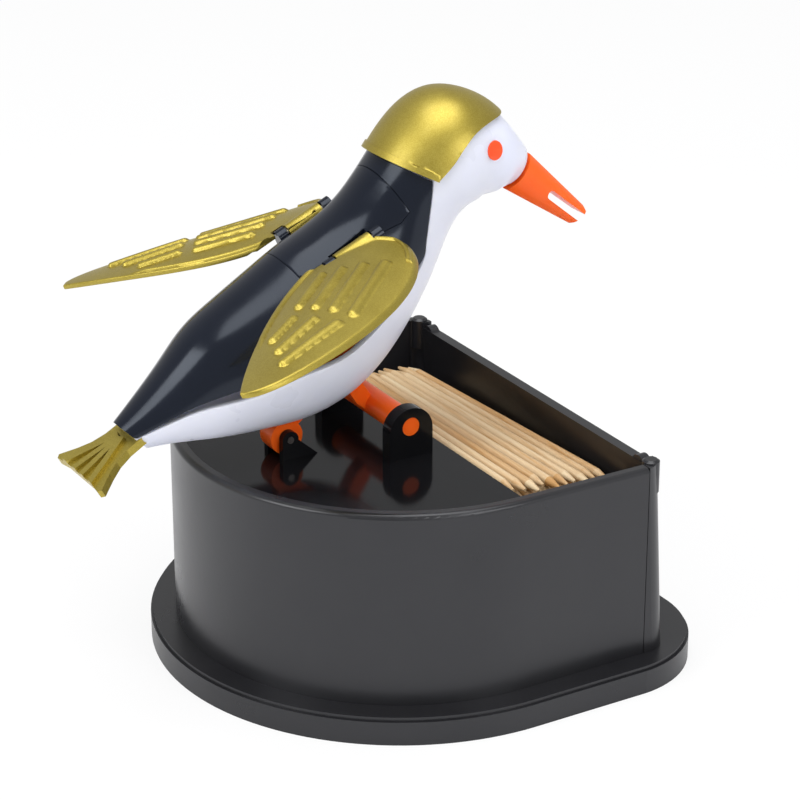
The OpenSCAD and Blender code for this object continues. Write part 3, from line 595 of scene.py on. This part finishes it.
def wingHalf(x, side):
    if side > 0:
        return wing["outer"] * math.sin(math.pi * x ** 0.6) ** 0.46
    return wing["inner"] * math.sin(math.pi * x ** 0.56) ** 0.85


def ribRise(u, w, edge):
    rise = 0.0
    for (su, sw), length, slope in wing["ribs"]:
        c, s = math.cos(math.radians(slope)), math.sin(math.radians(slope))
        a = (u - su) * c + (w - sw) * s
        b = -(u - su) * s + (w - sw) * c
        past = max(wing["ribHalf"] - a, a - length + wing["ribHalf"], 0)
        d = math.hypot(past, b) / wing["ribHalf"]
        if d < 1:
            rise = max(rise, wing["ribHeight"] * (1 - d * d) ** 0.6)
    onLip = (w < 0.5 and u < 39) or u < 7
    d = abs(edge - wing["edgeRound"] - wing["lipHalf"]) / wing["lipHalf"]
    if onLip and d < 1:
        fade = min(1.0, (39 - u) / 4) if u > 7 else 1.0
        rise = max(rise, fade * wing["lipHeight"] * (1 - d * d) ** 0.5)
    return rise


def wingSurface(name):
    # closed blade: an upper and a lower sheet over the same outline, joined round the edge
    na, nb = wing["along"], wing["across"]
    grid = []
    for i in range(na + 1):
        x = (1 - math.cos(math.pi * i / na)) / 2
        x = 0.5 * x + 0.5 * (i / na)
        x = min(max(x, 0.0008), 0.9992)
        row = []
        for j in range(nb + 1):
            s = 2 * j / nb - 1
            t = 0.72 * s + 0.28 * math.sin(s * math.pi / 2)
            half = wingHalf(x, t)
            edge = min((1 - abs(t)) * half, x * wing["length"] * 1.6, (1 - x) * wing["length"])
            row.append((x * wing["length"], t * half, edge))
        grid.append(row)
    points = []
    for layer in (1, 0):
        for row in grid:
            for u, w, edge in row:
                r = wing["edgeRound"]
                drop = r - math.sqrt(max(0.0, r * r - max(0.0, r - edge) ** 2))
                reach = wing["cupRadius"] + (wing["thick"] if layer else 0)
                z = wing["rise"] - wing["cupRadius"] + math.sqrt(reach ** 2 - (w - wing["crest"]) ** 2)
                z += (ribRise(u, w, edge) - drop) if layer else 0.3 * drop
                points.append((u, w, z))

    def at(layer, i, j):
        return (layer * (na + 1) + i) * (nb + 1) + j

    faces = []
    for i in range(na):
        for j in range(nb):
            faces.append((at(0, i, j), at(0, i + 1, j), at(0, i + 1, j + 1), at(0, i, j + 1)))
            faces.append((at(1, i, j), at(1, i, j + 1), at(1, i + 1, j + 1), at(1, i + 1, j)))
    for i in range(na):
        for j in (0, nb):
            faces.append((at(0, i, j), at(1, i, j), at(1, i + 1, j), at(0, i + 1, j)))
    for j in range(nb):
        for i in (0, na):
            faces.append((at(0, i, j), at(0, i, j + 1), at(1, i, j + 1), at(1, i, j)))
    return closedPiece(name, points, faces)


def rodAlongY(name, radius, start, end, sides=56):
    turns = [2 * math.pi * k / sides for k in range(sides)]
    outline = [(radius * math.cos(t), radius * math.sin(t)) for t in turns]
    return pushThrough(name, outline, start, end, lambda x, z, y: (x, y, z))


def blockFrom(name, low, high):
    xs, ys, zs = zip(low, high)
    points = [(x, y, z) for x in xs for y in ys for z in zs]
    faces = [(0, 1, 3, 2), (4, 6, 7, 5), (0, 4, 5, 1), (2, 3, 7, 6), (0, 2, 6, 4), (1, 5, 7, 3)]
    return closedPiece(name, points, faces)


def turnPoints(obj, matrix):
    obj.data.transform(matrix)
    obj.data.update()
    return obj


def fairKnuckle(blade, first, last, radius):
    # swells the blade's upper side smoothly up to its knuckle
    count = (wing["along"] + 1) * (wing["across"] + 1)
    for v in blade.data.vertices[:count]:
        x, y, z = (c * 1000 for c in v.co)
        past = max(first - y, y - last, 0)
        swell = radius * math.exp(-(x / 2.3) ** 2 - (past / 1.6) ** 2)
        share = math.exp(-(x / 2.6) ** 2 - (past / 2) ** 2)
        if swell > 0.02:
            v.co.z = mm(max(z, z + (swell - z) * share))


def makeWing(name, side, lift):
    first, last, radius = wing["knuckle"]
    blade = wingSurface(name)
    place = (Matrix.Rotation(math.radians(-lift), 4, "Y") @ Matrix.Translation((0, mm(last), 0))
        @ Matrix.Rotation(math.radians(wing["turn"]), 4, "Z"))
    turnPoints(blade, place)
    fairKnuckle(blade, first, last, radius)
    # trimmed inside the knuckle, so that it clears the back when lifted
    carve(blade, blockFrom("inside", (-20, -20, -10), (wing["trimInside"], 30, 10)), "DIFFERENCE")
    carve(blade, rodAlongY("knuckle", radius, first, last), "UNION")
    for label in ("tab", "web"):
        (x0, z0), (x1, z1) = wing[label]
        carve(blade, blockFrom(label, (x0, first, z0), (x1, first + wing["tabLength"], z1)), "UNION")
    carve(blade, rodAlongY("bore", wing["bore"], first - 20, last + 20), "DIFFERENCE")
    carve(blade, blockFrom("root", (-20.5, -20, -10), (wing["rootEdge"], first, 10)), "DIFFERENCE")
    for a, b in ((first - wing["bossLength"], first), (last, last + wing["bossLength"])):
        carve(blade, rodAlongY("room", wing["bossRoom"], a, b), "DIFFERENCE")
    atHinge(blade, side)
    shadeSmooth(blade, 38)
    dress(blade, "flakeGold")
    return blade


def hingePlace(side):
    hx, hy, hz = wing["hinge"]
    py, pz = bird["pivot"]
    place = (Matrix.Translation((mm(hx), mm(py + hy), mm(pz + hz)))
        @ Matrix.Rotation(math.radians(wing["tilt"]), 4, "X"))
    return Matrix.Scale(-1, 4, (1, 0, 0)) @ place if side < 0 else place


def atHinge(obj, side):
    turnPoints(obj, hingePlace(side))
    if side < 0:
        obj.data.flip_normals()
    return obj


def lugBlock(radius, start, end):
    arc = [math.pi * k / 24 for k in range(25)]
    outline = [(-3.6, -3.4), (radius, -3.4)]
    outline += [(radius * math.cos(t), radius * math.sin(t)) for t in arc]
    outline += [(-3.6, 0.02)]
    return pushThrough("lug", outline, start, end, lambda x, z, y: (x, y, z))


hingeRoom = {"low": (-2.4, -4.6), "high": (4.6, 2.3), "ends": 0.4, "lug": 2.0, "lugRoom": 0.12}


def openHinge(shell, side, lugsToo):
    # room for a wing's knuckle and tab, and the two lugs that carry its pin
    first, last, radius = wing["knuckle"]
    ends, lug = hingeRoom["ends"], hingeRoom["lug"]
    (x0, z0), (x1, z1) = hingeRoom["low"], hingeRoom["high"]
    room = blockFrom("room", (x0, first - ends, z0), (x1, last + ends, z1))
    carve(shell, atHinge(room, side), "DIFFERENCE")
    grow, work = (0, "UNION") if lugsToo else (hingeRoom["lugRoom"], "DIFFERENCE")
    for y in (first - ends - lug, last + ends):
        carve(shell, atHinge(lugBlock(radius + grow, y - grow, y + lug + grow), side), work)


for side in (1, -1):
    openHinge(backSkin, side, True)
    openHinge(saddleSkin, side, False)
for piece, mat, old, slotName in (
        (bellySkin, "bellyWhite", "belly_shell", "white_plastic"),
        (backSkin, "birdBlack", "back_shell", "black_plastic"),
        (saddleSkin, "birdBlack", "shoulder_cover", "black_plastic"),
        (capSkin, "flakeGold", "crown_cap", "gold_plastic")):
    soften(piece, mm(0.18), 40, 2)
    shadeSmooth(piece, 40)
    dress(piece, mat)
    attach(piece, "bird")
    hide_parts(old)
print("bird shells dressed")

for wingName, side, lift in (("right_wing", 1, 15), ("left_wing", -1, 0)):
    blade = makeWing(wingName + "_blade", side, lift)
    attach(blade, wingName)
    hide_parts(wingName)
print("wings made")

# ---------------------------------------------------------------- nodes that keep their CAD shape
keepNodes = {
    "base_plate": "boxBlack", "box_shell": "boxBlack", "front_panel": "boxBlack", "lid": "lidBlack",
    "pick_tray": "boxBlack", "toothpicks": "pickWood", "perch_frame": "billOrange",
    # the anchor pin's dark steel is painted shade, not the pin's own colour
    "anchor_pin": "shadeDarkSteel", "base_screws": "drawnSteel", "beak": "billOrange",
    "eyes": "eyeRed", "pivot_pin": "drawnSteel",
    "right_wing_pin": "drawnSteel", "left_wing_pin": "drawnSteel", "lifter_pin": "drawnSteel",
    "tail_fan": "flakeGold",
}
for node, mat in keepNodes.items():
    dress(nodes[node], mat)
print("carried-over nodes dressed")

# ---------------------------------------------------------------- stage and light
stageLook = {"floor": (0.86, 0.86, 0.87), "world": 0.55, "whiteShare": 0.82}


def makeStage():
    floor = meshPiece("floor", [(-3, -3, 0), (3, -3, 0), (3, 3, 0), (-3, 3, 0)], [(0, 1, 2, 3)])
    mat = bpy.data.materials.new("paleFloor")
    mat.use_nodes = True
    tree = mat.node_tree
    tree.nodes.clear()
    out = tree.nodes.new("ShaderNodeOutputMaterial")
    plain = addNode(tree, "ShaderNodeBsdfDiffuse")
    plain.inputs["Color"].default_value = (*stageLook["floor"], 1)
    glow = addNode(tree, "ShaderNodeEmission", in_Strength=1.0)
    glow.inputs["Color"].default_value = (1, 1, 1, 1)
    mix = addNode(tree, "ShaderNodeMixShader")
    mix.inputs[0].default_value = 0.0
    tree.links.new(plain.outputs[0], mix.inputs[1])
    tree.links.new(glow.outputs[0], mix.inputs[2])
    path = addNode(tree, "ShaderNodeLightPath")
    share = mathNode(tree, "MULTIPLY", path.outputs["Is Camera Ray"], stageLook["whiteShare"])
    tree.links.new(share, mix.inputs[0])
    tree.links.new(mix.outputs[0], out.inputs["Surface"])
    floor.data.materials.append(mat)

    world = bpy.data.worlds.new("softRoom")
    bpy.context.scene.world = world
    world.use_nodes = True
    tree = world.node_tree
    tree.nodes.clear()
    out = tree.nodes.new("ShaderNodeOutputWorld")
    room = addNode(tree, "ShaderNodeBackground", in_Strength=stageLook["world"])
    room.inputs["Color"].default_value = (1, 1, 1, 1)
    seen = addNode(tree, "ShaderNodeBackground", in_Strength=1.0)
    mix = addNode(tree, "ShaderNodeMixShader")
    path = addNode(tree, "ShaderNodeLightPath")
    tree.links.new(path.outputs["Is Camera Ray"], mix.inputs[0])
    tree.links.new(room.outputs[0], mix.inputs[1])
    tree.links.new(seen.outputs[0], mix.inputs[2])
    tree.links.new(mix.outputs[0], out.inputs["Surface"])


def softLamp(name, place, target, size, power):
    data = bpy.data.lights.new(name, "AREA")
    data.energy, data.size = power, size
    lamp = link(bpy.data.objects.new(name, data))
    lamp.location = place
    lamp.rotation_euler = (Vector(target) - Vector(place)).to_track_quat("-Z", "Y").to_euler()


makeStage()
lampPlan = {
    "overhead": ((0.1, -0.05, 0.9), (0, 0, 0.05), 0.7, 5.5),
    "viewerLeft": ((0.05, -0.85, 0.55), (0, 0, 0.05), 0.5, 4.0),
    "viewerRight": ((0.85, 0.2, 0.45), (0, 0, 0.05), 0.4, 2.2),
}
for lampName, (place, target, size, power) in lampPlan.items():
    softLamp(lampName, place, target, size, power)
bpy.context.scene.view_settings.view_transform = "Standard"
print("stage ready")
